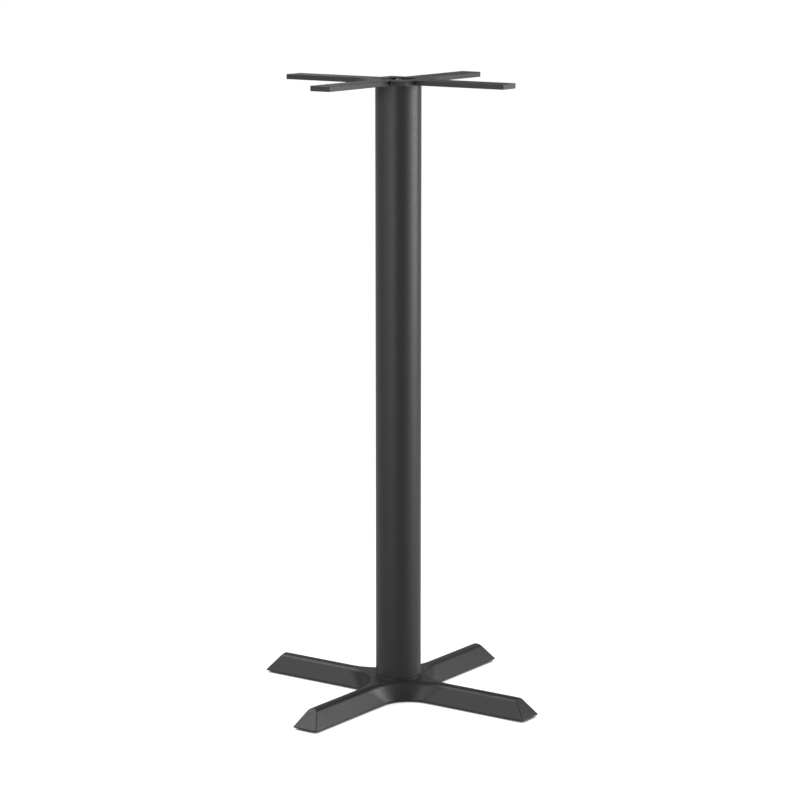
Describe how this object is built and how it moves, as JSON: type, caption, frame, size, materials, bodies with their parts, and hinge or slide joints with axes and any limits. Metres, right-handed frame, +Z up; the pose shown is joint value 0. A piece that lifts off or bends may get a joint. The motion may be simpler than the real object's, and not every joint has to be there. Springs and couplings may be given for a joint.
{
  "type": "four star table base",
  "caption": "Bar-height pedestal table base: a cast star foot with sloped arm ends, a round steel column, a flat cross spider for the top, a hidden tie rod and levelling glides.",
  "frame": {"origin": "on the floor, under the middle of the column", "axes": "+Z up along the column; +X along the arm that points to the right front in the picture, +Y along the arm that points to the right rear"},
  "size_m": [0.5306, 0.5306, 1.04],
  "materials": {
    "coated_casting": "iron casting under a fine-textured black powder coat",
    "coated_tube": "steel tube under a fine-textured black powder coat",
    "zinc_steel": "bright zinc plate",
    "black_nylon": "moulded nylon"
  },
  "bodies": {
    "stand": {"star_base": "coated_casting", "column_tube": "coated_tube", "top_spider": "coated_casting", "tie_rod": "zinc_steel", "base_washer": "zinc_steel", "base_lock_washer": "zinc_steel", "base_nut": "zinc_steel", "well_washer": "zinc_steel", "well_lock_washer": "zinc_steel", "well_nut": "zinc_steel"},
    "glide_front_right": {"glide_stud_front_right": "zinc_steel", "glide_pad_front_right": "black_nylon"},
    "glide_rear_right": {"glide_stud_rear_right": "zinc_steel", "glide_pad_rear_right": "black_nylon"},
    "glide_rear_left": {"glide_stud_rear_left": "zinc_steel", "glide_pad_rear_left": "black_nylon"},
    "glide_front_left": {"glide_stud_front_left": "zinc_steel", "glide_pad_front_left": "black_nylon"}
  },
  "joints": [
    {"name": "screw_front_right", "type": "slide", "parent": "stand", "child": "glide_front_right", "axis": [0, 0, -1], "range_m": [0, 0.01]},
    {"name": "screw_rear_right", "type": "slide", "parent": "stand", "child": "glide_rear_right", "axis": [0, 0, -1], "range_m": [0, 0.01]},
    {"name": "screw_rear_left", "type": "slide", "parent": "stand", "child": "glide_rear_left", "axis": [0, 0, -1], "range_m": [0, 0.01]},
    {"name": "screw_front_left", "type": "slide", "parent": "stand", "child": "glide_front_left", "axis": [0, 0, -1], "range_m": [0, 0.01]}
  ]
}
